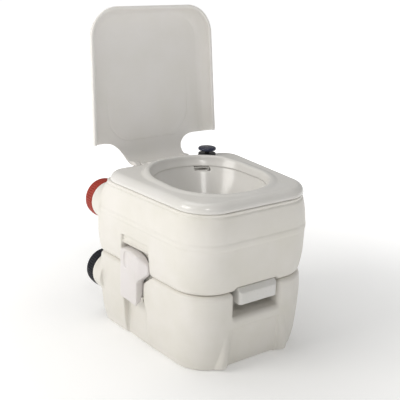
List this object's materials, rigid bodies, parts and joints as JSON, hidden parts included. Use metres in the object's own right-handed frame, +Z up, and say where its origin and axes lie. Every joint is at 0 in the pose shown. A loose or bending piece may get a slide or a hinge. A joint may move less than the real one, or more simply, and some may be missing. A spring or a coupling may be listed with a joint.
{
  "type": "portable camp toilet",
  "caption": "Two-piece portable flush toilet: lower waste tank, upper fresh-water tank with seat deck and bowl, hinged lid, side latches, slide valve, plunger pump and screw caps.",
  "frame": {"origin": "on the floor under the middle of the seat deck", "axes": "+Z up, -Y towards the valve handle at the front, +X towards the side with the flush pump"},
  "size_m": [0.3405, 0.4158, 0.6475],
  "materials": {
    "ivory_polyethylene": "fine matte, blow-moulded",
    "deck_white": "smooth gloss, injection-moulded",
    "lid_white": "fine matte, injection-moulded",
    "latch_grey": "satin, light cool grey",
    "handle_grey": "semi-gloss, light grey",
    "cap_red": "satin red",
    "cap_black": "satin blue-black",
    "knob_navy": "semi-gloss dark navy",
    "pump_black": "satin black",
    "pump_natural": "natural polypropylene",
    "valve_grey": "satin mid grey",
    "seal_rubber": "matte black rubber",
    "hose_clear": "soft milky hose",
    "stainless": "bright stainless steel"
  },
  "bodies": {
    "toilet": {"waste_tank": "ivory_polyethylene", "fresh_tank": "ivory_polyethylene", "seat_deck": "deck_white", "valve_frame": "valve_grey", "valve_frame_screws": "stainless", "valve_lip_seal": "seal_rubber", "bowl_outlet_seal": "seal_rubber", "latch_pin_left": "stainless", "latch_pin_right": "stainless", "lid_hinge_pin_left": "stainless", "lid_hinge_pin_right": "stainless", "pump_body": "pump_natural", "pump_foot_valve": "seal_rubber", "pump_collar": "pump_black", "delivery_hose": "hose_clear", "flush_nozzle": "deck_white"},
    "lid": {"lid": "lid_white"},
    "latch_left": {"latch_left": "latch_grey"},
    "latch_right": {"latch_right": "latch_grey"},
    "waste_valve": {"valve_blade": "valve_grey", "valve_handle": "handle_grey", "valve_handle_screws": "stainless"},
    "pump_plunger": {"pump_knob": "knob_navy", "pump_rod": "pump_black", "pump_piston": "pump_natural", "pump_piston_seal": "seal_rubber"},
    "filler_seal": {"filler_cap_gasket": "seal_rubber"},
    "filler_cap": {"filler_cap": "cap_red"},
    "waste_seal": {"waste_cap_gasket": "seal_rubber"},
    "waste_cap": {"waste_cap": "cap_black"}
  },
  "joints": [
    {"name": "lid_hinge", "type": "hinge", "parent": "toilet", "child": "lid", "pos_m": [0, 0.178, 0.322], "axis": [1, 0, 0], "range_deg": [0, 95]},
    {"name": "latch_left_hinge", "type": "hinge", "parent": "toilet", "child": "latch_left", "pos_m": [-0.15, 0.043, 0.102], "axis": [0, -1, 0], "range_deg": [0, 75]},
    {"name": "latch_right_hinge", "type": "hinge", "parent": "toilet", "child": "latch_right", "pos_m": [0.15, 0.043, 0.102], "axis": [0, 1, 0], "range_deg": [0, 75]},
    {"name": "waste_valve_slide", "type": "slide", "parent": "toilet", "child": "waste_valve", "axis": [0, -1, 0], "range_m": [0, 0.11]},
    {"name": "pump_slide", "type": "slide", "parent": "toilet", "child": "pump_plunger", "axis": [0, 0, 1], "range_m": [0, 0.045]},
    {"name": "filler_cap_lift", "type": "slide", "parent": "toilet", "child": "filler_seal", "axis": [0, 1, 0], "range_m": [0, 0.0186]},
    {"name": "filler_cap_turn", "type": "hinge", "parent": "filler_seal", "child": "filler_cap", "pos_m": [-0.132, 0.19, 0.259], "axis": [0, 1, 0], "range_deg": [0, 828]},
    {"name": "waste_cap_lift", "type": "slide", "parent": "toilet", "child": "waste_seal", "axis": [0, 1, 0], "range_m": [0, 0.0186]},
    {"name": "waste_cap_turn", "type": "hinge", "parent": "waste_seal", "child": "waste_cap", "pos_m": [-0.132, 0.19, 0.101], "axis": [0, 1, 0], "range_deg": [0, 828]}
  ],
  "couplings": [
    {"joint": "filler_cap_lift", "follows": "filler_cap_turn", "m_per_rad": 0.0012732},
    {"joint": "waste_cap_lift", "follows": "waste_cap_turn", "m_per_rad": 0.0012732}
  ]
}
